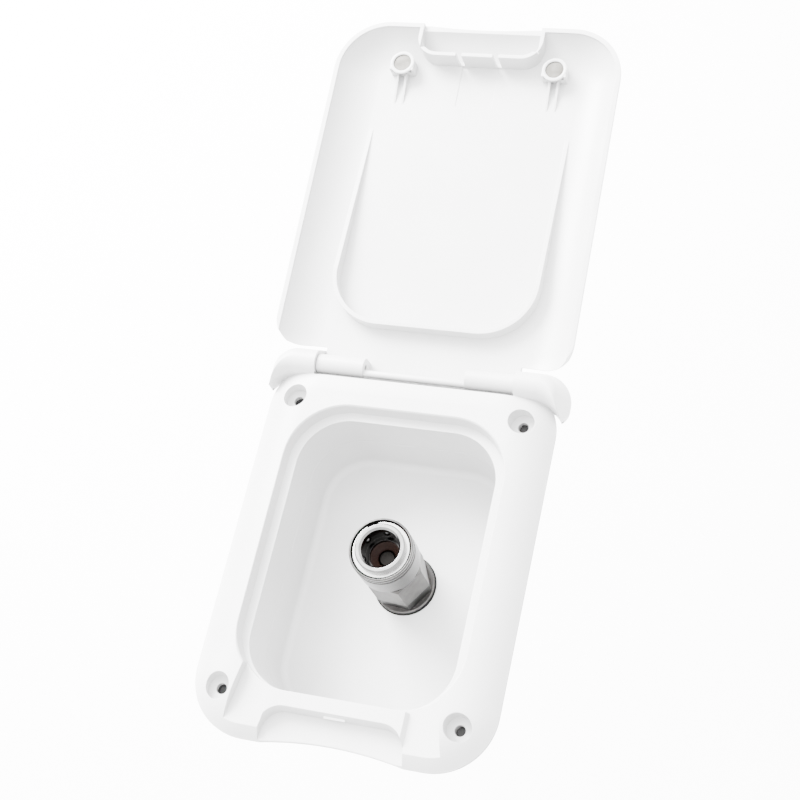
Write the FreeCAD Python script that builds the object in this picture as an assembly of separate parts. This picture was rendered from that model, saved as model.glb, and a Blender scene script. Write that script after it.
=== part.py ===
import FreeCAD, Part
import math
import os

# Caravan water filler hatch, sizes in millimetres.
# The origin lies on the wall plane, at the centre of the four screw holes.
# +Z points out of the wall, +Y towards the hinge, and the bowl reaches back
# through the wall to negative Z. The lid is shaped closed and then swung open
# to the angle that it rests at.

V = FreeCAD.Vector
X_AXIS = V(1, 0, 0)
Z_AXIS = V(0, 0, 1)

# Screw pattern
screw_span_x = 94.0
screw_span_y = 120.7
screw_hole_r = 2.1
counterbore_r = 5.1
counterbore_floor = 3.3
boss_wall = 2.2

# Flange and its domed bezel
flange_half_x = 59.8
flange_front = 77.0
flange_corner_r = 24.0
bezel_back = 82.2
bezel_top = 10.4
bezel_run = 18.0
bezel_arc_r = 23.1
shell_wall = 2.5

# Groove round the bowl mouth
ridge_half_x = 45.1
ridge_front = 57.9
ridge_back = 58.3
ridge_corner_r = 24.0
ridge_bevel = 0.5
groove_floor = 4.5
groove_draft = 0.6
ledge_width = 3.5

# Bowl
bowl_front_rim = 57.5
bowl_corner_r = 20.5
bowl_floor = -34.0
bowl_draft = 1.2
bowl_step = 0.2
bowl_step_z = -14.0
bowl_fillet = 3.0
coupler_boss_r = 17.0
coupler_boss_t = 2.0

# Magnet pads and raised band at the front
pad_z = 6.0
pad_half_x = 38.3
pad_flare = 5.0
pad_start = 47.5
band_half_x = 26.8
band_z = 8.2
band_slope = 1.2

# Finger scoop
scoop_half_x = 28.3
scoop_wall_y = 63.5
scoop_floor = 2.4
scoop_corner_r = 9.0
scoop_draft = 1.1
scoop_dip = 2.7
nib_half_x = 4.2
nib_z = 4.7
nib_t = 1.1

# Gasket in the back of the flange
gasket_half_x = 57.5
gasket_front = 71.5
gasket_back = 68.5
gasket_width = 3.0
gasket_t = 1.2
gasket_corner_r = 18.0

# Hinge
hinge_y = 76.5
hinge_z = 7.2
barrel_r = 4.0
barrel_length = 20.0
barrel_end = 41.2
web_count = 4
web_pitch = 24.0
web_t = 2.0
back_web_x = 15.0
clear_top = 25.0
hinge_side_gap = 0.3
bezel_to_barrel = 1.2
pin_r = 1.5
pin_clearance = 0.05
pin_grip = 8.0
knuckle_r = 5.5
knuckle_half_x = 63.3
knuckle_back = 85.3
knuckle_corner_r = 13.0
knuckle_edge_z = 1.0
knuckle_front = 64.0
knuckle_end_r = 6.0
crease_half_x = 62.9
crease_corner_r = 12.6

# Lid
lid_half_x = 62.5
lid_front = 80.4
lid_back = 85.0
lid_corner_r = 22.5
lid_rim = 2.9
lid_wall = 2.0
lid_run = 18.0
lid_arc_r = 21.5
lid_wall_gap = 0.3
lid_open_deg = 173.5
lid_hinge_edge = 4.2
lid_edge_round = 4.5
lid_shoulder_y = 70.4
lid_shoulder_r = 12.0
lid_shoulder_z = 6.4
lid_shoulder_lean = 4.2
witness_half_x = 8.0
witness_length = 19.0
witness_depth = 0.12

# Drip rib inside the lid
rib_half_x = 43.9
rib_back = 57.3
rib_front = -33.5
rib_t = 1.8
rib_height = 6.0
rib_corner_r = 23.0

# Finger pocket and latch tongue of the lid
pocket_half_x = 27.5
pocket_wall_y = 65.3
pocket_wall = 1.6
pocket_corner_r = 9.0
pocket_dip = 1.3
pocket_edge_z = 4.8
tongue_half_x = 6.8
tongue_slot = 2.6
barb_z = 3.9
barb_t = 0.25

# Magnets and keepers
magnet_x = 33.5
magnet_y = 62.9
magnet_r = 4.25
magnet_t = 2.0
magnet_fit = 0.05
magnet_pad_gap = 0.3
magnet_boss_r = 5.2
magnet_ear = 3.4
window_r = 3.9
window_t = 0.4
ramp_length = 14.0
ramp_t = 1.0
ramp_spread = 3.6
keeper_skin = 1.2
keeper_wall = 2.0

# Coupler
coupler_x = 3.5
coupler_y = 1.3
washer_t = 0.6
washer_r = 12.9
foot_r = 12.4
foot_t = 1.5
hex_flats = 21.6
hex_top = -8.8
hex_turn = -5.0
hex_chamfer = 1.0
hex_band = 7.0
hex_band_inset = 0.5
tail_r = 10.4
tail_length = 26.0
tail_relief_z = -47.6
tail_relief = 0.6
tail_bore_r = 5.6
tail_mouth_r = 6.4
tail_mouth_depth = 18.0
tail_fit = 0.3
socket_r = 9.0
socket_depth = 7.5
guide_r = 11.25
guide_top = -3.4
tube_r = 9.9
mouth_r = 7.5
mouth_land = 2.8
chamber_r = 7.75
mouth_z = 11.2
tip_r = 6.1
tip_z = 2.4
seal_seat_z = -2.4
slide_clearance = 0.08

# Sleeve
sleeve_r = 12.6
sleeve_bottom = -5.0
sleeve_top = 9.4
sleeve_mouth_r = 11.9
sleeve_stop_z = 7.4
sleeve_ramp_z = 5.4
sleeve_ramp_r = 10.8
sleeve_spring_seat = 3.6
sleeve_travel = 3.2
sleeve_groove = 0.45

# Snap ring
ring_inner_r = 9.3
ring_outer_r = 11.2
ring_t = 1.2
ring_gap_deg = 24.0
ring_gap_at = 120.0

# Locking balls
ball_count = 6
ball_r = 1.6
ball_z = 5.6
ball_at_r = 8.4
ball_fit = 0.06

# Valve
seal_inner_r = 3.5
seal_t = 3.0
poppet_head_r = 5.2
poppet_head_t = 1.8
poppet_nose_r = 3.3
poppet_nose_t = 1.4
stem_r = 1.6
valve_travel = 4.0
guide_plate_z = -18.0
guide_plate_t = 1.8
guide_hole_r = 1.9
valve_spring_r = 3.9
valve_wire_r = 0.4
valve_turns = 5.0
sleeve_wire_r = 0.45
sleeve_turns = 3.5
o_ring_r = 0.9

# Back nut
rear_washer_r = 15.5
rear_washer_t = 2.0
nut_flats = 27.0
nut_t = 7.0

# Sizes that follow from the ones above
lid_top = 2.0 * hinge_z - lid_wall_gap
lid_ceiling = lid_top - lid_wall
knuckle_face = barrel_end + hinge_side_gap
knuckle_top = hinge_z + knuckle_r
knuckle_crest = knuckle_back - hinge_y
crease_back = hinge_y - knuckle_r
base_back = hinge_y - barrel_r - bezel_to_barrel
magnet_boss_end = pad_z + magnet_pad_gap
magnet_z = magnet_boss_end + window_t
floor_under = bowl_floor - shell_wall
boss_under = floor_under - coupler_boss_t
foot_z = bowl_floor + washer_t
guide_bore_r = guide_r + slide_clearance
front_bore_r = tube_r + slide_clearance + 0.1
ridge_ledge = ridge_half_x - groove_draft - ledge_width


def outline(half_x, front, back, corner_r, z):
    """Closed rounded rectangle that starts in the middle of its front side."""
    left = -half_x + corner_r
    right = half_x - corner_r
    low = front + corner_r
    high = back - corner_r
    bend = corner_r * math.sqrt(0.5)
    start = V(0, front, z)
    parts = [
        Part.LineSegment(start, V(right, front, z)),
        Part.Arc(V(right, front, z), V(right + bend, low - bend, z), V(half_x, low, z)),
        Part.LineSegment(V(half_x, low, z), V(half_x, high, z)),
        Part.Arc(V(half_x, high, z), V(right + bend, high + bend, z), V(right, back, z)),
        Part.LineSegment(V(right, back, z), V(left, back, z)),
        Part.Arc(V(left, back, z), V(left - bend, high + bend, z), V(-half_x, high, z)),
        Part.LineSegment(V(-half_x, high, z), V(-half_x, low, z)),
        Part.Arc(V(-half_x, low, z), V(left - bend, low - bend, z), V(left, front, z)),
        Part.LineSegment(V(left, front, z), start),
    ]
    return Part.Wire([part.toShape() for part in parts])


def prism(wire, height):
    return Part.Face(wire).extrude(V(0, 0, height))


def box(x0, x1, y0, y1, z0, z1):
    return Part.makeBox(x1 - x0, y1 - y0, z1 - z0, V(x0, y0, z0))


def cylinder(r, z0, z1, x=0.0, y=0.0):
    return Part.makeCylinder(r, z1 - z0, V(x, y, z0), Z_AXIS)


def ring_solid(outer_r, inner_r, z0, z1, x=0.0, y=0.0):
    return cylinder(outer_r, z0, z1, x, y).cut(cylinder(inner_r, z0 - 1, z1 + 1, x, y))


def polygon_prism(points, z0, z1):
    corners = [V(x, y, z0) for x, y in points]
    return prism(Part.makePolygon(corners + corners[:1]), z1 - z0)


def turned(profile, x=0.0, y=0.0):
    """Solid of revolution about a vertical axis, from (radius, height) points."""
    points = [V(x + r, y, z) for r, z in profile]
    face = Part.Face(Part.makePolygon(points + points[:1]))
    return face.revolve(V(x, y, 0), Z_AXIS, 360)


def hexagon(flats, z0, z1, turn, x, y):
    corner_r = flats / math.sqrt(3.0)
    points = []
    for step in range(6):
        angle = math.radians(60.0 * step + turn)
        points.append((x + corner_r * math.cos(angle), y + corner_r * math.sin(angle)))
    return polygon_prism(points, z0, z1)


def dome(half_x, front, back, corner_r, run, top, arc_r, bottom):
    """Flat-topped solid whose edge falls away in one arc all round its outline."""
    edge_z = top - arc_r + math.sqrt(arc_r ** 2 - run ** 2)
    half_z = top - arc_r + math.sqrt(arc_r ** 2 - (run / 2) ** 2)
    p0 = V(0, front, bottom)
    p1 = V(0, front, edge_z)
    p2 = V(0, front + run / 2, half_z)
    p3 = V(0, front + run, top)
    p4 = V(0, front + run, bottom)
    profile = Part.Wire([
        Part.LineSegment(p0, p1).toShape(),
        Part.Arc(p1, p2, p3).toShape(),
        Part.LineSegment(p3, p4).toShape(),
        Part.LineSegment(p4, p0).toShape(),
    ])
    path = outline(half_x, front, back, corner_r, bottom)
    rim = path.makePipeShell([profile], True, True)
    core_line = outline(half_x - run, front + run, back - run, corner_r - run, bottom)
    return rim.fuse(prism(core_line, top - bottom)).removeSplitter()


def mirrored(shape):
    return shape.mirror(V(0, 0, 0), X_AXIS)


def both_sides(shape):
    return shape.fuse(mirrored(shape))


def coil(mean_r, wire_r, z0, z1, turns, x, y, steps=16):
    """Open coil spring of six-sided wire whose ends lie against z0 and z1."""
    rise = z1 - z0 - 2 * wire_r
    count = int(turns * steps)
    sections = []
    for step in range(count + 1):
        angle = math.radians(360.0 * step / steps)
        way = V(math.cos(angle), math.sin(angle), 0)
        centre = V(x, y, z0 + wire_r + rise * step / count) + way * mean_r
        corners = []
        for corner in range(6):
            turn = math.radians(60.0 * corner + 30.0)
            corners.append(centre + way * (wire_r * math.cos(turn)) + Z_AXIS * (wire_r * math.sin(turn)))
        sections.append(Part.makePolygon(corners + corners[:1]))
    return Part.makeLoft(sections, True, True)


# Bowl and bezel of the base moulding

def bowl_loft(grow, z_top, z_floor):
    """Tapered bowl form, grown outwards by a wall's thickness."""
    depth = groove_floor - bowl_floor
    wires = []
    for z in (z_top, z_floor):
        inset = bowl_draft * (groove_floor - z) / depth - grow
        wires.append(outline(ridge_ledge - inset, -bowl_front_rim + inset,
                             bowl_back_rim() - inset, bowl_corner_r - inset, z))
    return Part.makeLoft(wires, True)


def bowl_back_rim():
    return ridge_back - groove_draft - ledge_width


def rounded_floor(solid, z, r):
    edges = []
    for edge in solid.Edges:
        box_z = edge.BoundBox
        if abs(box_z.ZMin - z) < 1e-6 and abs(box_z.ZMax - z) < 1e-6:
            edges.append(edge)
    return solid.makeFillet(r, edges)


def bowl_void():
    upper = bowl_loft(0, groove_floor + 2, bowl_step_z)
    lower = rounded_floor(bowl_loft(-bowl_step, bowl_step_z + 1, bowl_floor), bowl_floor, bowl_fillet)
    return upper.fuse(lower)


def bowl_body():
    outer = bowl_loft(shell_wall, groove_floor - 0.5, floor_under)
    return rounded_floor(outer, floor_under, bowl_fillet + shell_wall)


def groove_void():
    top = bezel_top + 1.0
    rise = (top - groove_floor) / (bezel_top - groove_floor) - 1.0
    low = outline(ridge_half_x - groove_draft, -ridge_front + groove_draft,
                  ridge_back - groove_draft, ridge_corner_r - groove_draft, groove_floor)
    flare = groove_draft * rise
    high = outline(ridge_half_x + flare, -ridge_front - flare, ridge_back + flare,
                   ridge_corner_r + flare, top)
    groove = Part.makeLoft([low, high], True)
    bevel_low = outline(ridge_half_x, -ridge_front, ridge_back, ridge_corner_r, bezel_top - ridge_bevel)
    reach = ridge_bevel * 2
    bevel_high = outline(ridge_half_x + reach, -ridge_front - reach, ridge_back + reach,
                         ridge_corner_r + reach, bezel_top + ridge_bevel)
    return groove.fuse(Part.makeLoft([bevel_low, bevel_high], True))


def pad_void():
    """Sunken front land, with the raised band left standing in its middle."""
    front = flange_front + 5
    far = pad_half_x + pad_flare * (front - pad_start) / (flange_front - pad_start)
    land = polygon_prism([(-pad_half_x, -pad_start), (-far, -front), (far, -front), (pad_half_x, -pad_start)],
                         pad_z, bezel_top + 5)
    foot = band_half_x + band_slope
    section = [V(-foot, 0, pad_z), V(-band_half_x, 0, band_z), V(band_half_x, 0, band_z), V(foot, 0, pad_z)]
    face = Part.Face(Part.makePolygon(section + section[:1]))
    band = face.extrude(V(0, -(flange_front - ridge_front), 0)).translated(V(0, -ridge_front, 0))
    return land.cut(band)


def scoop_void():
    wires = []
    for z, grow in ((scoop_floor, 0.0), (band_z + 4, scoop_draft * (band_z + 4 - scoop_floor) / (band_z - scoop_floor))):
        back = -scoop_wall_y - scoop_draft + grow
        wires.append(outline(scoop_half_x, -flange_front - 12, back, scoop_corner_r, z))
    return Part.makeLoft(wires, True)


def scoop_front_void():
    """Shallow hollow curve of the flange's front edge, for the fingertips."""
    arc_r = (scoop_half_x ** 2 + scoop_dip ** 2) / (2 * scoop_dip)
    centre_y = -flange_front + scoop_dip - arc_r
    return cylinder(arc_r, -1, bezel_top, 0, centre_y)


def catch_nib():
    """Small ledge on the scoop wall that the lid's tongue snaps under."""
    wall = -scoop_wall_y - 0.2
    tip = -pocket_wall_y + barb_t + 0.15
    points = [V(-nib_half_x, wall + 1.5, nib_z), V(-nib_half_x, tip, nib_z),
              V(-nib_half_x, tip, nib_z + 0.3), V(-nib_half_x, wall + 1.5, nib_z + nib_t + 1.0)]
    return Part.Face(Part.makePolygon(points + points[:1])).extrude(V(2 * nib_half_x, 0, 0))


def flank_profile():
    """Outer side of the hinge roll: a steep flank that runs up into a round crest."""
    y0 = -flange_front
    reach = math.hypot(knuckle_crest, hinge_z - knuckle_edge_z)
    rise = math.atan2(hinge_z - knuckle_edge_z, knuckle_crest) + math.asin(knuckle_r / reach)
    tangent = math.sqrt(reach ** 2 - knuckle_r ** 2)
    middle = math.pi / 2 + rise / 2
    p0 = V(0, y0, 0)
    p1 = V(0, y0, knuckle_edge_z)
    p2 = V(0, y0 + tangent * math.cos(rise), knuckle_edge_z + tangent * math.sin(rise))
    p3 = V(0, y0 + knuckle_crest + knuckle_r * math.cos(middle), hinge_z + knuckle_r * math.sin(middle))
    p4 = V(0, y0 + knuckle_crest, knuckle_top)
    p5 = V(0, y0 + knuckle_crest, 0)
    return Part.Wire([Part.LineSegment(p0, p1).toShape(), Part.LineSegment(p1, p2).toShape(),
                      Part.Arc(p2, p3, p4).toShape(), Part.LineSegment(p4, p5).toShape(),
                      Part.LineSegment(p5, p0).toShape()])


def crease_void():
    """Space inside the hinge roll, whose inner side is the roll's own quarter round."""
    y0 = -flange_front
    inside = crease_corner_r - 2.0
    half = knuckle_r * math.sqrt(0.5)
    top = knuckle_top + 5
    p0 = V(0, y0, hinge_z)
    p1 = V(0, y0 - knuckle_r + half, hinge_z + half)
    p2 = V(0, y0 - knuckle_r, knuckle_top)
    p3 = V(0, y0 - knuckle_r, top)
    p4 = V(0, y0 + inside, top)
    p5 = V(0, y0 + inside, hinge_z)
    profile = Part.Wire([Part.Arc(p0, p1, p2).toShape(), Part.LineSegment(p2, p3).toShape(),
                         Part.LineSegment(p3, p4).toShape(), Part.LineSegment(p4, p5).toShape(),
                         Part.LineSegment(p5, p0).toShape()])
    path = outline(crease_half_x, y0, crease_back, crease_corner_r, hinge_z)
    flare = path.makePipeShell([profile], True, True)
    core = outline(crease_half_x - inside, y0 + inside, crease_back - inside, crease_corner_r - inside, hinge_z)
    lower = outline(crease_half_x, y0, crease_back, crease_corner_r, -1)
    return flare.fuse([prism(core, top - hinge_z), prism(lower, hinge_z + 1)])


def knuckle():
    """Right-hand hinge lug: a roll about the pin that turns the corner and fades out."""
    front = -flange_front
    path = outline(knuckle_half_x, front, knuckle_back, knuckle_corner_r, 0)
    flank = path.makePipeShell([flank_profile()], True, True)
    core_line = outline(knuckle_half_x - knuckle_crest, front + knuckle_crest, knuckle_back - knuckle_crest,
                        knuckle_corner_r - knuckle_crest, 0)
    flank = flank.fuse(prism(core_line, knuckle_top))
    end_line = outline(knuckle_half_x, knuckle_front, knuckle_back + 2 * knuckle_end_r, knuckle_end_r, -1)
    form = flank.common(prism(end_line, knuckle_top + 5).common(
        box(knuckle_face, lid_half_x + 5, knuckle_front, lid_back + 5, -1, clear_top)))
    return form.cut(crease_void()).removeSplitter()


def cylinder_x(r, x0, x1):
    return Part.makeCylinder(r, x1 - x0, V(x0, hinge_y, hinge_z), X_AXIS)


def screw_places():
    return [(sx * screw_span_x / 2, sy * screw_span_y / 2) for sx in (-1, 1) for sy in (-1, 1)]


def back_core():
    """Space behind the bezel, cored out to an even wall between its ribs."""
    under = dome(flange_half_x, -flange_front, bezel_back, flange_corner_r, bezel_run,
                 bezel_top, bezel_arc_r, 0).translated(V(0, 0, -shell_wall))
    inside = gasket_half_x - gasket_width - 1.5
    field = prism(outline(inside, -gasket_front + gasket_width + 1.5, gasket_back - gasket_width - 1.5,
                          gasket_corner_r - gasket_width - 1.5, -1), bezel_top)
    core = under.common(field)
    grow = shell_wall
    collar = prism(outline(ridge_half_x + grow, -ridge_front - grow, ridge_back + grow,
                           ridge_corner_r + grow, groove_floor - shell_wall), bezel_top)
    core = core.cut(collar)
    core = core.cut(bowl_loft(shell_wall, groove_floor, -5))
    pad_roof = box(-flange_half_x, flange_half_x, -flange_front, -pad_start + shell_wall, pad_z - shell_wall,
                   bezel_top)
    core = core.cut(pad_roof)
    scoop_keep = box(-scoop_half_x - shell_wall, scoop_half_x + shell_wall, -flange_front, -ridge_front - 0.5,
                     -1, bezel_top)
    core = core.cut(scoop_keep)
    for x, y in screw_places():
        core = core.cut(cylinder(counterbore_r + boss_wall, -1, bezel_top, x, y))
    for side in (-1, 1):
        core = core.cut(cylinder(magnet_r + keeper_wall, -1, bezel_top, side * magnet_x, -magnet_y))
        low = min(side * ridge_half_x, side * flange_half_x)
        for number in range(web_count):
            y = web_pitch * (number - (web_count - 1) / 2) - web_t / 2
            core = core.cut(box(low, low + flange_half_x - ridge_half_x, y, y + web_t, -2, bezel_top))
        x = side * back_web_x - web_t / 2
        core = core.cut(box(x, x + web_t, ridge_back - 6, bezel_back, -2, bezel_top))
    return core


def gasket_ring(grow):
    outer = prism(outline(gasket_half_x + grow, -gasket_front - grow, gasket_back + grow,
                          gasket_corner_r + grow, 0), gasket_t)
    inset = gasket_width + grow
    inner = prism(outline(gasket_half_x - inset, -gasket_front + inset, gasket_back - inset,
                          gasket_corner_r - inset, -1), gasket_t + 2)
    return outer.cut(inner)


def base_housing():
    body = dome(flange_half_x, -flange_front, bezel_back, flange_corner_r, bezel_run,
                bezel_top, bezel_arc_r, 0)
    body = body.cut(box(-knuckle_face, knuckle_face, base_back, lid_back, -1, 20))
    body = body.fuse(both_sides(knuckle()))
    body = body.cut(groove_void())
    body = body.cut(pad_void())
    body = body.cut(back_core())
    body = body.fuse(bowl_body())
    body = body.fuse(cylinder(coupler_boss_r, boss_under, floor_under + 1, coupler_x, coupler_y))
    body = body.cut(bowl_void())
    body = body.cut(scoop_void())
    body = body.cut(scoop_front_void())
    body = body.fuse(catch_nib())
    for x, y in screw_places():
        body = body.cut(cylinder(counterbore_r, counterbore_floor, bezel_top + 5, x, y))
        body = body.cut(cylinder(screw_hole_r, -1, bezel_top, x, y))
    for side in (-1, 1):
        keeper_hole = cylinder(magnet_r + magnet_fit, -1, pad_z - keeper_skin, side * magnet_x, -magnet_y)
        body = body.cut(keeper_hole)
    pin_hole = cylinder_x(pin_r, knuckle_face - 1, knuckle_face + pin_grip)
    body = body.cut(both_sides(pin_hole))
    body = body.cut(gasket_ring(0))
    body = body.cut(cylinder(tail_r + tail_fit, boss_under - 1, bowl_floor + 1, coupler_x, coupler_y))
    return body.removeSplitter()


# Lid, shaped in its closed place

def lid_shell_form():
    outer = dome(lid_half_x, -lid_front, lid_back, lid_corner_r, lid_run, lid_top, lid_arc_r, lid_rim)
    inner = dome(lid_half_x - lid_wall, -lid_front + lid_wall, lid_back - lid_wall, lid_corner_r - lid_wall,
                 lid_run - lid_wall, lid_ceiling, lid_arc_r - lid_wall, lid_rim - 1)
    return outer.cut(inner)


def lid_hinge_edge_form():
    """Rolled rear edge of the lid between the knuckles, drawn about the hinge axis."""
    y_out = hinge_y + lid_hinge_edge
    y_in = y_out - lid_wall
    bend = lid_edge_round * math.sqrt(0.5)
    centre_y = y_out - lid_edge_round
    centre_z = lid_top - lid_edge_round
    inner_r = lid_edge_round - lid_wall
    inner_bend = inner_r * math.sqrt(0.5)
    x0 = -barrel_end
    start_y = base_back - 6
    parts = [
        Part.LineSegment(V(x0, start_y, lid_top), V(x0, centre_y, lid_top)),
        Part.Arc(V(x0, centre_y, lid_top), V(x0, centre_y + bend, centre_z + bend), V(x0, y_out, centre_z)),
        Part.LineSegment(V(x0, y_out, centre_z), V(x0, y_out, hinge_z)),
        Part.LineSegment(V(x0, y_out, hinge_z), V(x0, y_in, hinge_z)),
        Part.LineSegment(V(x0, y_in, hinge_z), V(x0, y_in, centre_z)),
        Part.Arc(V(x0, y_in, centre_z), V(x0, centre_y + inner_bend, centre_z + inner_bend),
                 V(x0, centre_y, lid_ceiling)),
        Part.LineSegment(V(x0, centre_y, lid_ceiling), V(x0, start_y, lid_ceiling)),
        Part.LineSegment(V(x0, start_y, lid_ceiling), V(x0, start_y, lid_top)),
    ]
    face = Part.Face(Part.Wire([part.toShape() for part in parts]))
    return face.extrude(V(2 * barrel_end, 0, 0))


def lid_barrel():
    """Right-hand hinge barrel with straight flanks up to the lid's skin."""
    start = barrel_end - barrel_length
    roll = cylinder_x(barrel_r, start, barrel_end)
    web = box(start, barrel_end, hinge_y - barrel_r, hinge_y + barrel_r, hinge_z, lid_ceiling + 0.5)
    return roll.fuse(web)


def pocket_line(grow, z):
    back = -pocket_wall_y + grow
    return outline(pocket_half_x + grow, -lid_front - 14, back, pocket_corner_r + grow, z)


def finger_pocket(shell):
    """U-shaped wall with its latch tongue, and the hollowed front edge for the fingertips."""
    height = lid_ceiling - lid_rim + 0.5
    wall = prism(pocket_line(0, lid_rim), height).cut(prism(pocket_line(-pocket_wall, lid_rim - 1), height + 2))
    limit = dome(lid_half_x, -lid_front, lid_back, lid_corner_r, lid_run, lid_top, lid_arc_r, lid_rim)
    wall = wall.common(limit)
    inside = pocket_half_x - pocket_wall
    skirt = box(-inside, inside, -lid_front - 5, -pocket_wall_y - pocket_wall - 2, lid_rim - 1, pocket_edge_z)
    dip_r = (inside ** 2 + pocket_dip ** 2) / (2 * pocket_dip)
    dip = cylinder(dip_r, lid_rim - 1, lid_top + 1, 0, -lid_front + pocket_dip - dip_r)
    shell = shell.fuse(wall).cut(skirt).cut(dip.common(box(-inside, inside, -lid_front - 5, 0, 0, lid_top + 1)))
    for side in (-1, 1):
        middle = side * (tongue_half_x + tongue_slot / 2)
        shell = shell.cut(box(middle - tongue_slot / 2, middle + tongue_slot / 2, -pocket_wall_y - pocket_wall - 0.5,
                              -pocket_wall_y + 0.5, lid_rim - 1, lid_ceiling - 0.8))
    tip = -pocket_wall_y + barb_t
    barb = [V(-tongue_half_x, -pocket_wall_y, lid_rim), V(-tongue_half_x, tip, barb_z - 0.3),
            V(-tongue_half_x, tip, barb_z), V(-tongue_half_x, -pocket_wall_y, barb_z)]
    return shell.fuse(Part.Face(Part.makePolygon(barb + barb[:1])).extrude(V(2 * tongue_half_x, 0, 0)))


def drip_rib():
    """U-shaped rib that hangs in the groove and fades out towards its ends."""
    outer = outline(rib_half_x, rib_front - rib_corner_r, rib_back, rib_corner_r, 0)
    inner = outline(rib_half_x - rib_t, rib_front - rib_corner_r + rib_t, rib_back - rib_t, rib_corner_r - rib_t, -1)
    band = prism(outer, lid_top).cut(prism(inner, lid_top + 2))
    full = rib_back - rib_corner_r
    slope = [V(-rib_half_x - 1, rib_front, lid_ceiling + 0.3), V(-rib_half_x - 1, rib_front, lid_ceiling),
             V(-rib_half_x - 1, full, lid_ceiling - rib_height), V(-rib_half_x - 1, rib_back + 1, lid_ceiling - rib_height),
             V(-rib_half_x - 1, rib_back + 1, lid_ceiling + 0.3)]
    wedge = Part.Face(Part.makePolygon(slope + slope[:1])).extrude(V(2 * rib_half_x + 2, 0, 0))
    return band.common(wedge)


def magnet_boss(side):
    """Holder with a round window, open towards the hinge, and its two ramps."""
    x = side * magnet_x
    y = -magnet_y
    top = lid_ceiling + 0.5
    ears = box(x - magnet_boss_r, x + magnet_boss_r, y, y + magnet_ear, magnet_boss_end, top)
    square = box(x - magnet_boss_r, x + magnet_boss_r, y - magnet_boss_r, y + magnet_ear, magnet_boss_end, top)
    boss = cylinder(magnet_boss_r, magnet_boss_end, top, x, y).fuse(ears).common(square)
    boss = boss.cut(cylinder(window_r, magnet_boss_end - 1, magnet_z + 0.5, x, y))
    room_r = magnet_r + magnet_fit
    room = cylinder(room_r, magnet_z, magnet_z + magnet_t + magnet_fit, x, y)
    slot = box(x - room_r, x + room_r, y, y + magnet_boss_r + 1, magnet_z, magnet_z + magnet_t + magnet_fit)
    boss = boss.cut(room.fuse(slot))
    start = y + magnet_ear - 0.5
    for offset in (-ramp_spread / 2, ramp_spread / 2):
        x0 = x + offset - ramp_t / 2
        low = magnet_z + magnet_t + 0.2
        rib = [V(x0, start, low), V(x0, start + ramp_length, lid_ceiling), V(x0, start + ramp_length, lid_ceiling + 0.5),
               V(x0, start, lid_ceiling + 0.5)]
        boss = boss.fuse(Part.Face(Part.makePolygon(rib + rib[:1])).extrude(V(ramp_t, 0, 0)))
    return boss


def swung_open(shape):
    opened = shape.copy()
    opened.rotate(V(0, hinge_y, hinge_z), X_AXIS, -lid_open_deg)
    return opened


def lid_shell():
    shell = lid_shell_form()
    rear = box(-barrel_end, barrel_end, base_back - 6, lid_back + 5, -1, clear_top)
    for side in (-1, 1):
        low = min(side * barrel_end, side * (lid_half_x + 5))
        rear = rear.fuse(box(low, low + lid_half_x + 5 - barrel_end, base_back + 5, lid_back + 5, -1, clear_top))
    shell = shell.cut(rear)
    corner = box(barrel_end, lid_half_x + 5, lid_shoulder_y - lid_shoulder_r, lid_back + 5, -1, clear_top)
    lower = outline(lid_half_x, -lid_front, lid_shoulder_y, lid_shoulder_r, -2)
    level = outline(lid_half_x, -lid_front, lid_shoulder_y, lid_shoulder_r, lid_shoulder_z)
    upper = outline(lid_half_x - lid_shoulder_lean, -lid_front, lid_shoulder_y - lid_shoulder_lean,
                    lid_shoulder_r - lid_shoulder_lean, lid_top + 1)
    corner = corner.cut([prism(lower, lid_shoulder_z + 2), Part.makeLoft([level, upper], True, True)])
    shell = shell.cut(both_sides(corner))
    shell = shell.fuse(lid_hinge_edge_form())
    shell = shell.fuse(both_sides(lid_barrel()))
    shell = finger_pocket(shell)
    shell = shell.fuse(drip_rib())
    for side in (-1, 1):
        shell = shell.fuse(magnet_boss(side))
    bore = cylinder_x(pin_r + pin_clearance, barrel_end - barrel_length - 1, barrel_end + 1)
    shell = shell.cut(both_sides(bore))
    witness = box(-witness_half_x, witness_half_x, -pocket_wall_y, -pocket_wall_y + witness_length,
                  lid_ceiling - 0.5, lid_ceiling + witness_depth)
    shell = shell.cut(witness)
    return swung_open(shell.removeSplitter())


def lid_magnet(side):
    disc = cylinder(magnet_r, magnet_z, magnet_z + magnet_t, side * magnet_x, -magnet_y)
    return swung_open(disc)


def keeper_disc(side):
    top = pad_z - keeper_skin
    return cylinder(magnet_r, top - magnet_t, top, side * magnet_x, -magnet_y)


def hinge_pin(side):
    start = barrel_end - barrel_length + 0.5
    pin = cylinder_x(pin_r, start, knuckle_face + pin_grip)
    return pin if side > 0 else mirrored(pin)


# Coupler, drawn on its own axis

def at_coupler(profile):
    return turned(profile, coupler_x, coupler_y)


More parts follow.
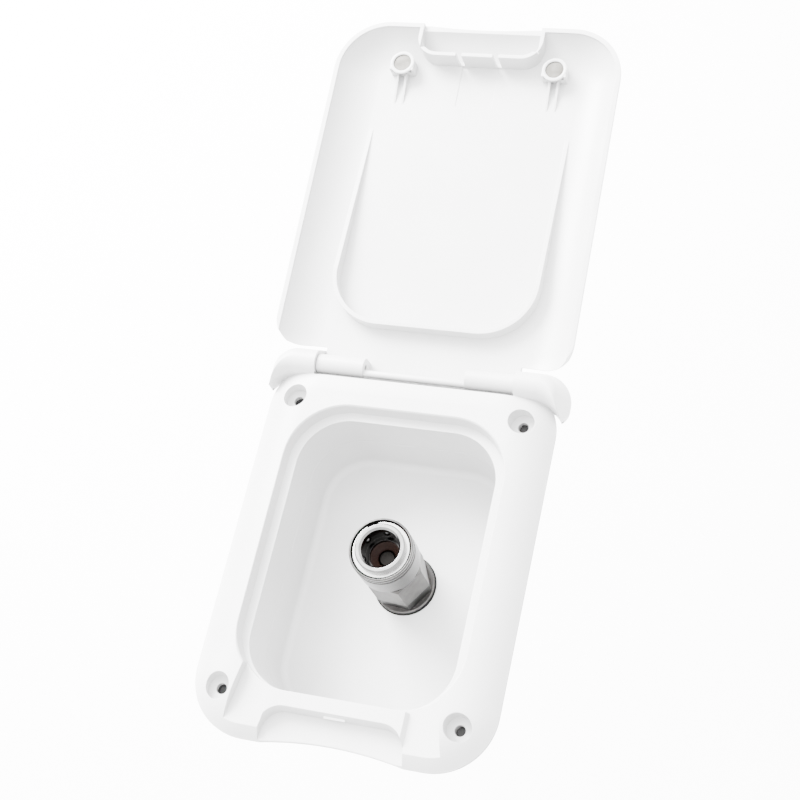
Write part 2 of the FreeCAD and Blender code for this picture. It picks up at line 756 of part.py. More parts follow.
def coupler_adapter():
    """Hexagon body with its foot, threaded tail and the socket for the coupler's front."""
    foot_top = foot_z + foot_t
    solid = hexagon(hex_flats, foot_top + hex_band, hex_top, hex_turn, coupler_x, coupler_y)
    solid = solid.fuse(hexagon(hex_flats - 2 * hex_band_inset, foot_top, foot_top + hex_band, hex_turn,
                               coupler_x, coupler_y))
    corner_r = hex_flats / math.sqrt(3.0)
    cap = at_coupler([(0, foot_z + foot_t), (corner_r + 1, foot_z + foot_t),
                      (corner_r + 1, hex_top - hex_chamfer), (hex_flats / 2 - 0.3, hex_top), (0, hex_top)])
    solid = solid.common(cap)
    foot = at_coupler([(0, foot_z), (foot_r, foot_z), (foot_r, foot_z + foot_t - 0.4),
                       (foot_r - 0.4, foot_z + foot_t), (0, foot_z + foot_t)])
    tail_end = foot_z - tail_length
    tail = at_coupler([(0, foot_z), (tail_r, foot_z), (tail_r, tail_relief_z), (tail_r - tail_relief, tail_relief_z),
                       (tail_r - tail_relief, tail_relief_z - 1), (tail_r, tail_relief_z - 1),
                       (tail_r, tail_end + 1), (tail_r - 1, tail_end), (0, tail_end)])
    solid = solid.fuse([foot, tail])
    socket_floor = hex_top - socket_depth
    bore = at_coupler([(0, hex_top + 1), (socket_r + 0.05, hex_top + 1), (socket_r + 0.05, socket_floor),
                       (tip_r + 1.0, socket_floor), (tip_r + 1.0, guide_plate_z), (tail_bore_r, guide_plate_z),
                       (tail_bore_r, tail_end + tail_mouth_depth), (tail_mouth_r, tail_end + tail_mouth_depth),
                       (tail_mouth_r, tail_end - 1), (0, tail_end - 1)])
    return solid.cut(bore).removeSplitter()


def socket_body():
    """Front tube of the coupler with its ball holes and snap ring groove."""
    shoulder = tube_r
    profile = [
        (tip_r, hex_top - socket_depth + 0.2), (socket_r, hex_top - socket_depth + 0.2), (socket_r, hex_top),
        (guide_r, hex_top), (guide_r, guide_top), (shoulder, guide_top), (shoulder, sleeve_stop_z + 0.1),
        (ring_inner_r - 0.05, sleeve_stop_z + 0.1), (ring_inner_r - 0.05, sleeve_stop_z + 0.1 + ring_t + 0.1),
        (shoulder, sleeve_stop_z + 0.2 + ring_t), (shoulder, mouth_z - 0.5), (shoulder - 0.5, mouth_z),
        (mouth_r + 0.8, mouth_z), (mouth_r, mouth_z - 0.8), (mouth_r, mouth_z - 0.8 - mouth_land),
        (chamber_r, mouth_z - 1.0 - mouth_land), (chamber_r, tip_z), (tip_r, tip_z),
        (tip_r, seal_seat_z + seal_t), (tip_r + 0.6, seal_seat_z + seal_t), (tip_r + 0.6, seal_seat_z),
        (poppet_head_r - 0.6, seal_seat_z), (poppet_head_r - 0.6, seal_seat_z - 0.6), (tip_r, seal_seat_z - 1.6),
    ]
    body = at_coupler(profile)
    for hole in ball_holes():
        body = body.cut(hole)
    return body


def ball_angles():
    return [360.0 * step / ball_count + 30.0 for step in range(ball_count)]


def ball_holes():
    holes = []
    wide = ball_r + ball_fit
    for angle in ball_angles():
        turn = math.radians(angle)
        way = V(math.cos(turn), math.sin(turn), 0)
        centre = V(coupler_x, coupler_y, ball_z)
        narrow = wide - 0.2
        cone = Part.makeCone(narrow, wide, 0.8, centre + way * (chamber_r - 0.2), way)
        straight = Part.makeCylinder(wide, 4, centre + way * (chamber_r + 0.6), way)
        inner = Part.makeCylinder(narrow, 2, centre + way * (chamber_r - 2.0), way)
        holes.append(cone.fuse([straight, inner]))
    return holes


def locking_ball(angle):
    turn = math.radians(angle)
    return Part.makeSphere(ball_r, V(coupler_x + ball_at_r * math.cos(turn),
                                     coupler_y + ball_at_r * math.sin(turn), ball_z))


def coupler_sleeve():
    """Sliding sleeve with grip grooves, a ramp over the balls and a stop shoulder."""
    profile = [
        (guide_bore_r, sleeve_bottom), (sleeve_r - 0.3, sleeve_bottom), (sleeve_r, sleeve_bottom + 0.4),
        (sleeve_r, 4.6), (sleeve_r - sleeve_groove, 4.9), (sleeve_r - sleeve_groove, 5.6), (sleeve_r, 5.9),
        (sleeve_r, 6.9), (sleeve_r - sleeve_groove, 7.2), (sleeve_r - sleeve_groove, 7.7), (sleeve_r, 8.0),
        (sleeve_r, sleeve_top - 0.3), (sleeve_r - 0.3, sleeve_top), (sleeve_mouth_r, sleeve_top),
        (sleeve_mouth_r, sleeve_stop_z), (sleeve_ramp_r, sleeve_stop_z), (front_bore_r, sleeve_ramp_z),
        (front_bore_r, sleeve_spring_seat), (guide_bore_r, sleeve_spring_seat),
    ]
    return at_coupler(profile)


def snap_ring():
    z0 = sleeve_stop_z + 0.15
    ring = ring_solid(ring_outer_r, ring_inner_r, z0, z0 + ring_t, coupler_x, coupler_y)
    half = math.radians(ring_gap_deg / 2)
    middle = math.radians(ring_gap_at)
    reach = 20.0
    points = [(coupler_x, coupler_y)]
    for angle in (middle - half, middle + half):
        points.append((coupler_x + reach * math.cos(angle), coupler_y + reach * math.sin(angle)))
    return ring.cut(polygon_prism(points, z0 - 1, z0 + ring_t + 1))


def sleeve_spring():
    mean_r = (tube_r + guide_bore_r) / 2
    return coil(mean_r, sleeve_wire_r, guide_top + 0.05, sleeve_spring_seat - 0.05, sleeve_turns, coupler_x, coupler_y)


def mouth_seal():
    top = seal_seat_z + seal_t
    return at_coupler([(seal_inner_r, seal_seat_z), (tip_r + 0.55, seal_seat_z + 0.02), (tip_r + 0.55, top - 0.05),
                       (tip_r - 0.3, top - 0.05), (seal_inner_r, seal_seat_z + 1.2)])


def valve_poppet():
    head_top = seal_seat_z - 0.75
    head_low = head_top - poppet_head_t
    stem_end = guide_plate_z - 2.0
    return at_coupler([(0, head_top + poppet_nose_t), (poppet_nose_r - 0.5, head_top + poppet_nose_t),
                       (poppet_nose_r, head_top + poppet_nose_t - 0.5), (poppet_nose_r, head_top),
                       (poppet_head_r, head_top - 0.6), (poppet_head_r, head_low), (stem_r, head_low),
                       (stem_r, stem_end + 0.4), (stem_r - 0.4, stem_end), (0, stem_end)])


def valve_guide():
    """Pierced plate that steers the valve's stem and carries its spring."""
    plate = cylinder(tip_r + 0.95, guide_plate_z + 0.02, guide_plate_z + guide_plate_t, coupler_x, coupler_y)
    plate = plate.cut(cylinder(stem_r + slide_clearance, guide_plate_z - 1, guide_plate_z + 5, coupler_x, coupler_y))
    for step in range(4):
        angle = math.radians(90.0 * step + 45.0)
        x = coupler_x + 4.6 * math.cos(angle)
        y = coupler_y + 4.6 * math.sin(angle)
        plate = plate.cut(cylinder(guide_hole_r - 0.6, guide_plate_z - 1, guide_plate_z + 5, x, y))
    return plate


def valve_spring():
    low = guide_plate_z + guide_plate_t
    high = seal_seat_z - 0.75 - poppet_head_t
    return coil(valve_spring_r, valve_wire_r, low + 0.05, high - 0.05, valve_turns, coupler_x, coupler_y)


def floor_washer():
    return ring_solid(washer_r, tail_r + tail_fit, bowl_floor, foot_z, coupler_x, coupler_y)


def rear_washer():
    return ring_solid(rear_washer_r, tail_r + tail_fit, boss_under - rear_washer_t, boss_under, coupler_x, coupler_y)


def lock_nut():
    top = boss_under - rear_washer_t
    nut = hexagon(nut_flats, top - nut_t, top, 0, coupler_x, coupler_y)
    corner_r = nut_flats / math.sqrt(3.0)
    cap = at_coupler([(0, top), (corner_r, top), (corner_r, top - nut_t + 1.0),
                      (nut_flats / 2 - 0.2, top - nut_t), (0, top - nut_t)])
    nut = nut.common(cap)
    return nut.cut(cylinder(tail_r + 0.03, top - nut_t - 1, top + 1, coupler_x, coupler_y))


os.makedirs("parts", exist_ok=True)
nodes = {
    "base_housing": base_housing(),
    "wall_gasket": gasket_ring(0),
    "lid_shell": lid_shell(),
    "coupler_adapter": coupler_adapter(),
    "socket_body": socket_body(),
    "coupler_sleeve": coupler_sleeve(),
    "snap_ring": snap_ring(),
    "sleeve_spring": sleeve_spring(),
    "mouth_seal": mouth_seal(),
    "valve_poppet": valve_poppet(),
    "valve_guide": valve_guide(),
    "valve_spring": valve_spring(),
    "floor_washer": floor_washer(),
    "rear_washer": rear_washer(),
    "lock_nut": lock_nut(),
}
for side, name in ((-1, "left"), (1, "right")):
    nodes["hinge_pin_" + name] = hinge_pin(side)
    nodes["lid_magnet_" + name] = lid_magnet(side)
    nodes["keeper_disc_" + name] = keeper_disc(side)
for number, angle in enumerate(ball_angles(), start=1):
    nodes["locking_ball_%d" % number] = locking_ball(angle)

for name, shape in nodes.items():
    shape.exportStep("parts/%s.step" % name)
    print(name, shape.isValid(), len(shape.Solids), round(shape.Volume / 1000.0, 3))
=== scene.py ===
import math

import bmesh
import bpy
from mathutils import Matrix, Vector


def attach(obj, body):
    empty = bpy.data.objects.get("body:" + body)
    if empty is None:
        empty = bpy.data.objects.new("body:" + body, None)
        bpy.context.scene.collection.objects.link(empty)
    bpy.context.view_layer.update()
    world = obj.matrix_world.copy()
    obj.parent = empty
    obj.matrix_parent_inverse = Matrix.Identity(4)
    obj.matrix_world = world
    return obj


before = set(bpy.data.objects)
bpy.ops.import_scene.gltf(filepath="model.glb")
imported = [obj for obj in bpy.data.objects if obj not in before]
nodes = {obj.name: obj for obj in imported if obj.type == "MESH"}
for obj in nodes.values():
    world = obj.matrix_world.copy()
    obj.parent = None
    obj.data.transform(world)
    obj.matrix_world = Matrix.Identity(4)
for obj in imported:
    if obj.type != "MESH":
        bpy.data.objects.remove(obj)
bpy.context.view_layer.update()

MM = 0.001
COUPLER = (3.5 * MM, 1.3 * MM)
SCREWS = [(x * MM, y * MM) for x in (-47.0, 47.0) for y in (-60.35, 60.35)]
HINGE = Vector((0.0, 76.5 * MM, 7.2 * MM))
LID_OPEN = math.radians(-173.5)
MASK_EDGE = 0.05 * MM

# Places on the base housing with painted shade and a painted highlight: a radius, heights, and boxes in
# millimetres
HOLE_SHADE_R = 2.1 * MM
HOLE_SHADE_EDGE = 0.2 * MM
SEAM_SHADE_BOX = ((-41.6, 70.9, -2.0), (41.6, 72.0, 9.6))
NIB_HIGHLIGHT_BOX = ((-4.3, -65.3, 4.6), (4.3, -64.2, 6.0))
FLANGE_BOX = ((-70.0, -90.0, -2.0), (70.0, 66.0, 2.0))
BOWL_BOX = ((-46.0, -64.0, -2.0), (46.0, 62.0, 2.0))
FOOT_SHADE_LOW = -0.1 * MM
FOOT_SHADE_HIGH = 1.2 * MM

# Bands of the coupler darkened as painted shade and painted dark reflection: inner and outer radius,
# lower and upper height in millimetres, tone
HEXAGON_SHADE_BANDS = [(8.0, 13.9, -31.9, -25.0, 0.016), (12.6, 14.0, -34.0, -31.9, 0.04)]
SLEEVE_SHADE_BANDS = [(12.2, 13.0, -6.0, 8.3, 0.05), (0.0, 12.25, 6.5, 8.9, 0.004),
                (12.0, 12.5, 4.7, 5.7, 0.03), (12.0, 12.5, 7.1, 7.8, 0.03),
                (0.0, 12.8, -5.2, -4.5, 0.03)]
NOSE_SHADE_BANDS = [(0.0, 7.95, -20.0, 10.2, 0.024), (9.0, 12.0, -20.0, 8.4, 0.02)]

# Thread of the coupler's tail: root radius, lower and upper height and pitch in millimetres
THREAD = (9.9, -58.6, -35.0, 1.81)
THREAD_EDGE = 0.3 * MM
THREAD_DEPTH = 1.8 * MM


# Node helpers

def new_material(name):
    material = bpy.data.materials.new(name)
    material.use_nodes = True
    tree = material.node_tree
    tree.nodes.clear()
    output = tree.nodes.new("ShaderNodeOutputMaterial")
    shader = tree.nodes.new("ShaderNodeBsdfPrincipled")
    tree.links.new(shader.outputs["BSDF"], output.inputs["Surface"])
    return material, tree, shader


def add(tree, kind, values=None, **settings):
    node = tree.nodes.new(kind)
    for key, value in settings.items():
        setattr(node, key, value)
    for key, value in (values or {}).items():
        node.inputs[key].default_value = value
    return node


def grey(tone):
    return (tone, tone, tone)


def object_noise(tree, scale, detail=3.0, roughness=0.5):
    place = add(tree, "ShaderNodeTexCoord")
    noise = add(tree, "ShaderNodeTexNoise", {"Scale": scale, "Detail": detail, "Roughness": roughness})
    tree.links.new(place.outputs["Object"], noise.inputs["Vector"])
    return noise.outputs["Fac"]


def object_place(tree):
    """Sockets with the object's x, y and z."""
    place = add(tree, "ShaderNodeTexCoord")
    parts = add(tree, "ShaderNodeSeparateXYZ")
    tree.links.new(place.outputs["Object"], parts.inputs["Vector"])
    return parts.outputs["X"], parts.outputs["Y"], parts.outputs["Z"]


def spread(tree, source, low, high):
    """Maps a 0 to 1 value onto the range low to high."""
    node = add(tree, "ShaderNodeMapRange", {"To Min": low, "To Max": high})
    tree.links.new(source, node.inputs["Value"])
    return node.outputs["Result"]


def blend_colours(tree, factor, dark, light):
    ramp = add(tree, "ShaderNodeValToRGB")
    ramp.color_ramp.elements[0].position = 0.3
    ramp.color_ramp.elements[1].position = 0.7
    ramp.color_ramp.elements[0].color = (*dark, 1.0)
    ramp.color_ramp.elements[1].color = (*light, 1.0)
    tree.links.new(factor, ramp.inputs["Fac"])
    return ramp.outputs["Color"]


def calc(tree, operation, *values):
    """Math node whose inputs are sockets or plain numbers."""
    node = add(tree, "ShaderNodeMath", operation=operation)
    for number, value in enumerate(values):
        if isinstance(value, (int, float)):
            node.inputs[number].default_value = value
        else:
            tree.links.new(value, node.inputs[number])
    return node.outputs["Value"]


def around(tree, x, y):
    """Distance from an upright axis, turn about it, and height."""
    across, along, height = object_place(tree)
    dx = calc(tree, "SUBTRACT", across, x)
    dy = calc(tree, "SUBTRACT", along, y)
    squares = calc(tree, "ADD", calc(tree, "MULTIPLY", dx, dx), calc(tree, "MULTIPLY", dy, dy))
    return calc(tree, "SQRT", squares), calc(tree, "ARCTAN2", dy, dx), height


def between(tree, value, low, high, soft):
    """One where the value lies from low to high, with soft ends."""
    rise = add(tree, "ShaderNodeMapRange", {"From Min": low - soft, "From Max": low + soft},
               interpolation_type="SMOOTHSTEP")
    fall = add(tree, "ShaderNodeMapRange",
               {"From Min": high - soft, "From Max": high + soft, "To Min": 1.0, "To Max": 0.0},
               interpolation_type="SMOOTHSTEP")
    tree.links.new(value, rise.inputs["Value"])
    tree.links.new(value, fall.inputs["Value"])
    return calc(tree, "MULTIPLY", rise.outputs["Result"], fall.outputs["Result"])


def combined(tree, operation, values):
    """One math operation run through a list of sockets."""
    total = values[0]
    for value in values[1:]:
        total = calc(tree, operation, total, value)
    return total


def within_box(tree, box):
    """One inside a box given by two corners in millimetres."""
    sides = [between(tree, value, low * MM, high * MM, MASK_EDGE)
             for value, low, high in zip(object_place(tree), *box)]
    return combined(tree, "MULTIPLY", sides)


def toned(tree, shader, colour, mask, tone):
    """Mixes a second colour into the base colour where the mask is one."""
    mix = add(tree, "ShaderNodeMix", data_type="RGBA")
    for socket in mix.inputs:
        if socket.name == "A" and socket.type == "RGBA":
            tree.links.new(colour, socket)
        if socket.name == "B" and socket.type == "RGBA":
            socket.default_value = (*tone, 1.0)
    tree.links.new(mask, mix.inputs["Factor"])
    result = [socket for socket in mix.outputs if socket.type == "RGBA"][0]
    tree.links.new(result, shader.inputs["Base Color"])
    return result


def bumped(tree, height, strength, distance, edge):
    """Normal with a fine bump over edges softened by the given radius."""
    rounding = add(tree, "ShaderNodeBevel", {"Radius": edge}, samples=6)
    bump = add(tree, "ShaderNodeBump", {"Strength": strength, "Distance": distance})
    tree.links.new(height, bump.inputs["Height"])
    tree.links.new(rounding.outputs["Normal"], bump.inputs["Normal"])
    return bump.outputs["Normal"]


# Kinds of material

def paint_base_shade_and_highlight(tree, shader, colour):
    """Painted shade in the screw holes, along the flange's foot and in the gap at the hinge, and a
    painted highlight on the catch nib.
    """
    # Painted shade inside the four screw holes
    hole_shades = [between(tree, around(tree, x, y)[0], -1.0, HOLE_SHADE_R, HOLE_SHADE_EDGE) for x, y in SCREWS]
    colour = toned(tree, shader, colour, combined(tree, "MAXIMUM", hole_shades), grey(0.07))
    # Painted shade along the flange's foot, outside the bowl
    low = between(tree, object_place(tree)[2], FOOT_SHADE_LOW, FOOT_SHADE_HIGH, MASK_EDGE)
    outside_bowl = calc(tree, "SUBTRACT", 1.0, within_box(tree, BOWL_BOX))
    foot_shade = combined(tree, "MULTIPLY", [low, within_box(tree, FLANGE_BOX), outside_bowl])
    colour = toned(tree, shader, colour, foot_shade, grey(0.03))
    # Painted highlight on the catch nib
    colour = toned(tree, shader, colour, within_box(tree, NIB_HIGHLIGHT_BOX), grey(0.95))
    # Painted shade in the gap at the hinge
    toned(tree, shader, colour, within_box(tree, SEAM_SHADE_BOX), grey(0.01))


def plastic(name, dark, light, rough_low, rough_high, edge, tone=None):
    """Moulded plastic: faint flow marks, fine grain, and edges softened by the mould."""
    material, tree, shader = new_material(name)
    colour = blend_colours(tree, object_noise(tree, 35.0, 4.0), dark, light)
    tree.links.new(colour, shader.inputs["Base Color"])
    # Painted shade and highlight, where a function for them is given
    if tone:
        tone(tree, shader, colour)
    sheen = object_noise(tree, 90.0, 5.0)
    tree.links.new(spread(tree, sheen, rough_low, rough_high), shader.inputs["Roughness"])
    fine = object_noise(tree, 2600.0, 2.0, 0.6)
    tree.links.new(bumped(tree, fine, 0.25, 0.01 * MM, edge), shader.inputs["Normal"])
    shader.inputs["Specular IOR Level"].default_value = 0.45
    shader.inputs["Subsurface Weight"].default_value = 0.08
    shader.inputs["Subsurface Radius"].default_value = (1.0, 1.0, 0.95)
    shader.inputs["Subsurface Scale"].default_value = 1.5 * MM
    return material


def lathe_rings(tree):
    """Noise stretched flat, so that it lies in rings about an upright axis."""
    place = add(tree, "ShaderNodeTexCoord")
    stretch = add(tree, "ShaderNodeMapping", vector_type="POINT")
    stretch.inputs["Scale"].default_value = (120.0, 120.0, 2200.0)
    rings = add(tree, "ShaderNodeTexNoise", {"Scale": 1.0, "Detail": 4.0})
    tree.links.new(place.outputs["Object"], stretch.inputs["Vector"])
    tree.links.new(stretch.outputs["Vector"], rings.inputs["Vector"])
    return rings.outputs["Fac"]


def threaded(tree, normal, thread):
    """Adds a screw thread's bump about the coupler's axis."""
    root_r, low, high, pitch = thread
    radius, turn, height = around(tree, *COUPLER)
    climb = calc(tree, "DIVIDE", height, pitch * MM)
    turns = calc(tree, "DIVIDE", turn, 2 * math.pi)
    wave = calc(tree, "PINGPONG", calc(tree, "SUBTRACT", climb, turns), 0.5)
    where = calc(tree, "MULTIPLY", between(tree, radius, root_r * MM, 1.0, 0.1 * MM),
                 between(tree, height, low * MM, high * MM, THREAD_EDGE))
    cut = add(tree, "ShaderNodeBump", {"Strength": 1.0, "Distance": THREAD_DEPTH})
    tree.links.new(calc(tree, "MULTIPLY", wave, where), cut.inputs["Height"])
    tree.links.new(normal, cut.inputs["Normal"])
    return cut.outputs["Normal"]


def paint_band_shade(tree, shader, colour, bands):
    """Tones bands about the coupler's axis in warm greys: painted shade and painted dark reflection."""
    radius, _, height = around(tree, *COUPLER)
    for inner, outer, low, high, tone in bands:
        mask = calc(tree, "MULTIPLY", between(tree, radius, inner * MM, outer * MM, MASK_EDGE),
                    between(tree, height, low * MM, high * MM, MASK_EDGE))
        colour = toned(tree, shader, colour, mask, (tone, tone * 0.98, tone * 0.96))


def metal(name, dark, light, rough_low, rough_high, edge=0.2 * MM, turned=False, bands=(), thread=None):
    """Plated metal, with lathe rings, bands of painted shade and painted dark reflection, or a thread
    where they are given.
    """
    material, tree, shader = new_material(name)
    colour = blend_colours(tree, object_noise(tree, 260.0, 4.0), dark, light)
    tree.links.new(colour, shader.inputs["Base Color"])
    # Painted shade and painted dark reflection, in bands
    if bands:
        paint_band_shade(tree, shader, colour, bands)
    wear = object_noise(tree, 700.0, 5.0, 0.65)
    tree.links.new(spread(tree, wear, rough_low, rough_high), shader.inputs["Roughness"])
    shader.inputs["Metallic"].default_value = 1.0
    normal = bumped(tree, lathe_rings(tree) if turned else wear, 0.2, 0.01 * MM, edge)
    if thread:
        normal = threaded(tree, normal, thread)
    tree.links.new(normal, shader.inputs["Normal"])
    return material


def rubber(name, dark, light, edge):
    material, tree, shader = new_material(name)
    bloom = object_noise(tree, 300.0, 5.0)
    tree.links.new(blend_colours(tree, bloom, dark, light), shader.inputs["Base Color"])
    tree.links.new(spread(tree, bloom, 0.5, 0.75), shader.inputs["Roughness"])
    shader.inputs["Specular IOR Level"].default_value = 0.15
    fine = object_noise(tree, 3000.0, 2.0)
    tree.links.new(bumped(tree, fine, 0.3, 0.02 * MM, edge), shader.inputs["Normal"])
    return material


# Materials

PLASTIC_DARK = grey(0.51)
PLASTIC_LIGHT = grey(0.54)
# The nickel colours are far darker than real plating: painted dark reflection
NICKEL_DARK = (0.070, 0.068, 0.066)
NICKEL_LIGHT = (0.100, 0.097, 0.094)

white_plastic = plastic("white_plastic", PLASTIC_DARK, PLASTIC_LIGHT, 0.34, 0.46, 0.4 * MM,
                        tone=paint_base_shade_and_highlight)
lid_plastic = plastic("lid_plastic", PLASTIC_DARK, PLASTIC_LIGHT, 0.32, 0.44, 0.4 * MM)
nickel = metal("satin_nickel", NICKEL_DARK, NICKEL_LIGHT, 0.36, 0.48, bands=HEXAGON_SHADE_BANDS,
               thread=THREAD)
nut_plate = metal("nut_plate", NICKEL_DARK, NICKEL_LIGHT, 0.36, 0.48)
# The sleeve's colours are far darker than real plating: painted dark reflection
sleeve_plate = metal("sleeve_plate", (0.070, 0.0687, 0.0675), (0.100, 0.098, 0.096), 0.16, 0.24,
                     turned=True, bands=SLEEVE_SHADE_BANDS)
nose_plate = metal("nose_plate", (0.20, 0.198, 0.196), (0.27, 0.268, 0.265), 0.12, 0.20,
                   turned=True, bands=NOSE_SHADE_BANDS)
steel = metal("drawn_steel", (0.34, 0.34, 0.335), (0.42, 0.42, 0.415), 0.20, 0.32)
polished = metal("polished_ball", grey(0.035), grey(0.050), 0.10, 0.16, edge=0.1 * MM)
magnet_plate = metal("magnet_plate", (0.060, 0.057, 0.051), (0.110, 0.106, 0.098), 0.40, 0.6)
brass = metal("dull_brass", (0.007, 0.0065, 0.006), (0.010, 0.0095, 0.009), 0.3, 0.45)
brown_seal = rubber("brown_seal", (0.0080, 0.0026, 0.0014), (0.0120, 0.0042, 0.0022), 0.3 * MM)
# Foam of the sheet behind the flange; its darkness is also painted shade seen through the screw holes
dark_foam_shade = rubber("dark_foam_shade", grey(0.030), grey(0.050), 0.2 * MM)
black_rubber = rubber("black_rubber", grey(0.004), grey(0.007), 0.3 * MM)

finish = {
    "base_housing": white_plastic,
    "lid_shell": lid_plastic,
    "wall_gasket": black_rubber,
    "floor_washer": black_rubber,
    "rear_washer": black_rubber,
    "coupler_adapter": nickel,
    "lock_nut": nut_plate,
    "socket_body": nose_plate,
    "coupler_sleeve": sleeve_plate,
    "snap_ring": steel,
    "sleeve_spring": steel,
    "valve_spring": steel,
    "hinge_pin_left": steel,
    "hinge_pin_right": steel,
    "keeper_disc_left": magnet_plate,
    "keeper_disc_right": magnet_plate,
    "lid_magnet_left": magnet_plate,
    "lid_magnet_right": magnet_plate,
    "mouth_seal": brown_seal,
    "valve_poppet": brass,
    "valve_guide": brass,
}

for name, node in nodes.items():
    node.data.materials.clear()
    node.data.materials.append(finish.get(name, polished))


# Mesh helpers

def bridge(rows, count, closed):
    """Quads between neighbouring rows of points, where each row is a closed loop."""
    faces = []
    for row in range(rows if closed else rows - 1):
        following = (row + 1) % rows
        for number in range(count):
            after = (number + 1) % count
            faces.append((row * count + number, following * count + number,
                          following * count + after, row * count + after))
    return faces


def make_piece(name, verts, faces, material, smooth):
    """Closed mesh piece; smooth tells of each face whether it is shaded smooth."""
    mesh = bpy.data.meshes.new(name)
    mesh.from_pydata(verts, [], faces)
    bm = bmesh.new()
    bm.from_mesh(mesh)
    bmesh.ops.recalc_face_normals(bm, faces=bm.faces)
    bm.to_mesh(mesh)
    bm.free()
    for face in mesh.polygons:
        face.use_smooth = smooth(face)
    mesh.materials.append(material)
    piece = bpy.data.objects.new(name, mesh)
    bpy.context.scene.collection.objects.link(piece)
    return piece


# Ring of the lid moulding round each magnet's face, drawn on the closed lid and swung open

MAGNET_X = 33.5
MAGNET_Y = -62.9
RING_FOOT = 6.25
RING_SECTION = [(3.95, 0.10), (4.05, 0.0), (5.25, 0.0), (5.35, 0.10), (5.35, 0.75), (3.95, 0.38)]
RING_STEPS = 56
SWING = Matrix.Translation(HINGE) @ Matrix.Rotation(LID_OPEN, 4, "X") @ Matrix.Translation(-HINGE)


def magnet_ring(name, centre_x):
    verts = []
    for step in range(RING_STEPS):
        angle = 2 * math.pi * step / RING_STEPS
        for radius, rise in RING_SECTION:
            x = centre_x + radius * math.cos(angle)
            y = MAGNET_Y + radius * math.sin(angle)
            verts.append(SWING @ Vector((x * MM, y * MM, (RING_FOOT + rise) * MM)))
    faces = bridge(RING_STEPS, len(RING_SECTION), closed=True)
    return make_piece(name, verts, faces, lid_plastic, lambda face: True)


for name, x in (("magnet_ring_left", -MAGNET_X), ("magnet_ring_right", MAGNET_X)):
    ring = magnet_ring(name, x)
    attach(ring, "lid")


# Rolled lip of the lid, between its hinge barrels

LIP_HALF_X = 41.1
LIP_CENTRE = (74.1, 7.75)
LIP_R = 1.4
LIP_FOOT_Y = (72.9, 74.9)
LIP_FOOT_Z = 6.3
LIP_START = 15.0
LIP_TURN = 190.0
LIP_STEPS = 18
LIP_END = 0.15
LIP_END_SHARE = 0.90


def hinge_lip(name):
    """A roll on a short web that goes down into the moulding, with softened ends."""
    centre_y, centre_z = LIP_CENTRE
    section = [(LIP_FOOT_Y[1], LIP_FOOT_Z)]
    for step in range(LIP_STEPS + 1):
        angle = math.radians(LIP_START + LIP_TURN * step / LIP_STEPS)
        section.append((centre_y + LIP_R * math.cos(angle), centre_z + LIP_R * math.sin(angle)))
    section.append((LIP_FOOT_Y[0], LIP_FOOT_Z))
    count = len(section)
    middle_y = sum(y for y, z in section) / count
    middle_z = sum(z for y, z in section) / count
    ends = [(-LIP_HALF_X, LIP_END_SHARE), (-LIP_HALF_X + LIP_END, 1.0),
            (LIP_HALF_X - LIP_END, 1.0), (LIP_HALF_X, LIP_END_SHARE)]
    verts = []
    for x, share in ends:
        for y, z in section:
            verts.append((x * MM, (middle_y + (y - middle_y) * share) * MM,
                          (middle_z + (z - middle_z) * share) * MM))
    rows = len(ends)
    caps = [tuple(range(count)), tuple(range(rows * count - 1, (rows - 1) * count - 1, -1))]
    faces = caps + bridge(rows, count, closed=False)
    return make_piece(name, verts, faces, lid_plastic, lambda face: len(face.vertices) == 4)


lip = hinge_lip("lid_hinge_lip")
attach(lip, "lid")


# Foam sheet behind the flange; its darkness is also painted shade seen through the screw holes

FOAM_OUTER = (59.0, -73.8, 70.4, 22.0)
FOAM_INNER = (43.7, -60.2, 56.9, 21.0)
FOAM_FACE = -0.05
FOAM_MIDDLE = -0.35
FOAM_BACK = -0.65
FOAM_BULGE = 0.2


def rounded_rectangle(half_x, front, back, corner, steps=12):
    points = []
    for x, y, first in ((half_x - corner, back - corner, 0), (corner - half_x, back - corner, 90),
                        (corner - half_x, front + corner, 180), (half_x - corner, front + corner, 270)):
        for step in range(steps + 1):
            angle = math.radians(first + 90.0 * step / steps)
            points.append((x + corner * math.cos(angle), y + corner * math.sin(angle)))
    return points


def grown(outline, by):
    half_x, front, back, corner = outline
    return half_x + by, front - by, back + by, corner + by


def foam_shade_sheet(name):
    """Closed ring through six rounded rectangles, whose two rims bulge a little."""
    outer_bulge = grown(FOAM_OUTER, FOAM_BULGE)
    inner_bulge = grown(FOAM_INNER, -FOAM_BULGE)
    loops = [(FOAM_OUTER, FOAM_FACE), (outer_bulge, FOAM_MIDDLE), (FOAM_OUTER, FOAM_BACK),
             (FOAM_INNER, FOAM_BACK), (inner_bulge, FOAM_MIDDLE), (FOAM_INNER, FOAM_FACE)]
    verts = []
    for outline, z in loops:
        verts += [(x * MM, y * MM, z * MM) for x, y in rounded_rectangle(*outline)]
    faces = bridge(len(loops), len(verts) // len(loops), closed=True)
    return make_piece(name, verts, faces, dark_foam_shade, lambda face: False)


foam = foam_shade_sheet("flange_foam_shade_sheet")
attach(foam, "base")


# Floor

FLOOR_SIDE = 60.0
FLOOR_Z = -0.5

floor_material, floor_tree, floor_shader = new_material("pale_floor")
floor_colour = blend_colours(floor_tree, object_noise(floor_tree, 3.0), grey(0.93), grey(0.95))
floor_tree.links.new(floor_colour, floor_shader.inputs["Base Color"])
floor_shader.inputs["Roughness"].default_value = 0.9
floor_mesh = bpy.data.meshes.new("floor")
floor_corners = [(x * FLOOR_SIDE, y * FLOOR_SIDE, 0.0) for x, y in ((-1, -1), (1, -1), (1, 1), (-1, 1))]
floor_mesh.from_pydata(floor_corners, [], [(0, 1, 2, 3)])
floor_mesh.materials.append(floor_material)
floor = bpy.data.objects.new("floor", floor_mesh)
floor.location = (0.0, 0.0, FLOOR_Z)
bpy.context.scene.collection.objects.link(floor)


# Light: a sky that is brighter overhead and behind the hinge, and one soft key light

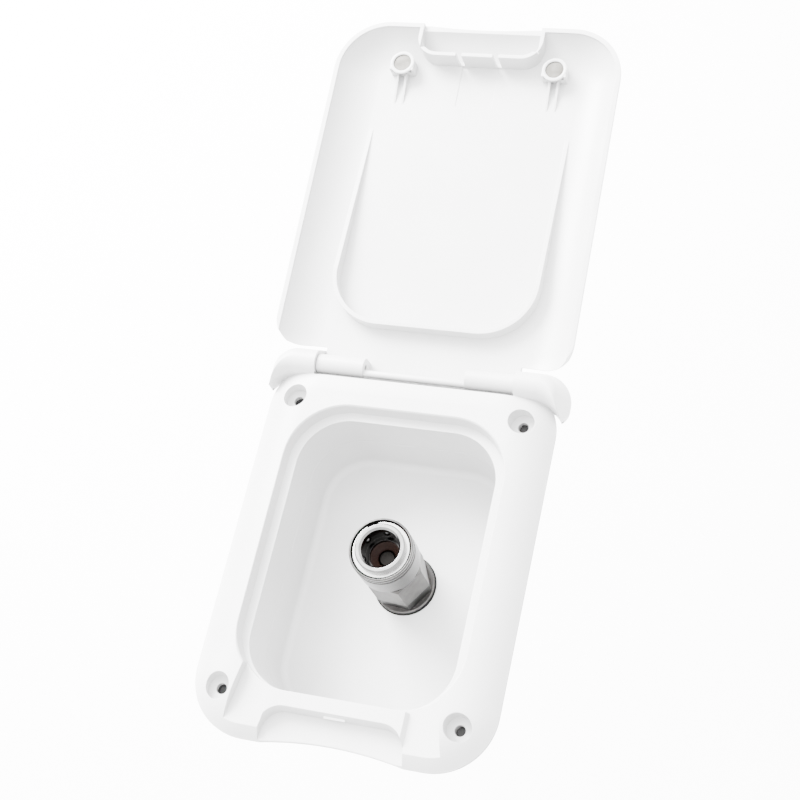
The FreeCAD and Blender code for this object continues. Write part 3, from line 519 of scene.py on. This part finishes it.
world = bpy.data.worlds.new("studio")
world.use_nodes = True
sky = world.node_tree
background = sky.nodes["Background"]
background.inputs["Color"].default_value = (1.0, 1.0, 1.0, 1.0)
sky_place = add(sky, "ShaderNodeTexCoord")
sky_side = add(sky, "ShaderNodeVectorMath", operation="DOT_PRODUCT")
sky_side.inputs[1].default_value = (-0.58, 0.76, 0.30)
sky_fade = add(sky, "ShaderNodeMapRange",
               {"From Min": -0.8, "From Max": 0.9, "To Min": 2.2, "To Max": 7.5})
sky_parts = add(sky, "ShaderNodeSeparateXYZ")
sky_rise = add(sky, "ShaderNodeMapRange",
               {"From Min": -0.1, "From Max": 0.7, "To Min": 0.4, "To Max": 1.85})
sky.links.new(sky_place.outputs["Generated"], sky_side.inputs[0])
sky.links.new(sky_side.outputs["Value"], sky_fade.inputs["Value"])
sky.links.new(sky_place.outputs["Generated"], sky_parts.inputs["Vector"])
sky.links.new(sky_parts.outputs["Z"], sky_rise.inputs["Value"])
sky.links.new(calc(sky, "MULTIPLY", sky_fade.outputs["Result"], sky_rise.outputs["Result"]),
              background.inputs["Strength"])
bpy.context.scene.world = world

KEY_PLACE = Vector((-1.05, 1.00, 1.05))
KEY_AIM = Vector((0.0, 0.05, 0.0))
KEY_SIDE = 1.0
KEY_POWER = 330.0

key_data = bpy.data.lights.new("key", "AREA")
key_data.shape = "RECTANGLE"
key_data.size = KEY_SIDE
key_data.size_y = KEY_SIDE
key_data.energy = KEY_POWER
key = bpy.data.objects.new("key", key_data)
key.location = KEY_PLACE
key.rotation_mode = "QUATERNION"
key.rotation_quaternion = (KEY_AIM - KEY_PLACE).to_track_quat("-Z", "Y")
bpy.context.scene.collection.objects.link(key)


# Camera at the photograph's viewing angle

camera_data = bpy.data.cameras.new("camera")
camera_data.lens = 69.88
camera_data.sensor_width = 36.0
camera_data.clip_start = 0.05
camera_data.clip_end = 300.0
camera = bpy.data.objects.new("camera", camera_data)
camera.location = (0.17791, -0.16833, 0.55154)
camera.rotation_euler = (math.radians(25.613), math.radians(12.903), math.radians(12.992))
bpy.context.scene.collection.objects.link(camera)
bpy.context.scene.camera = camera

bpy.context.view_layer.update()
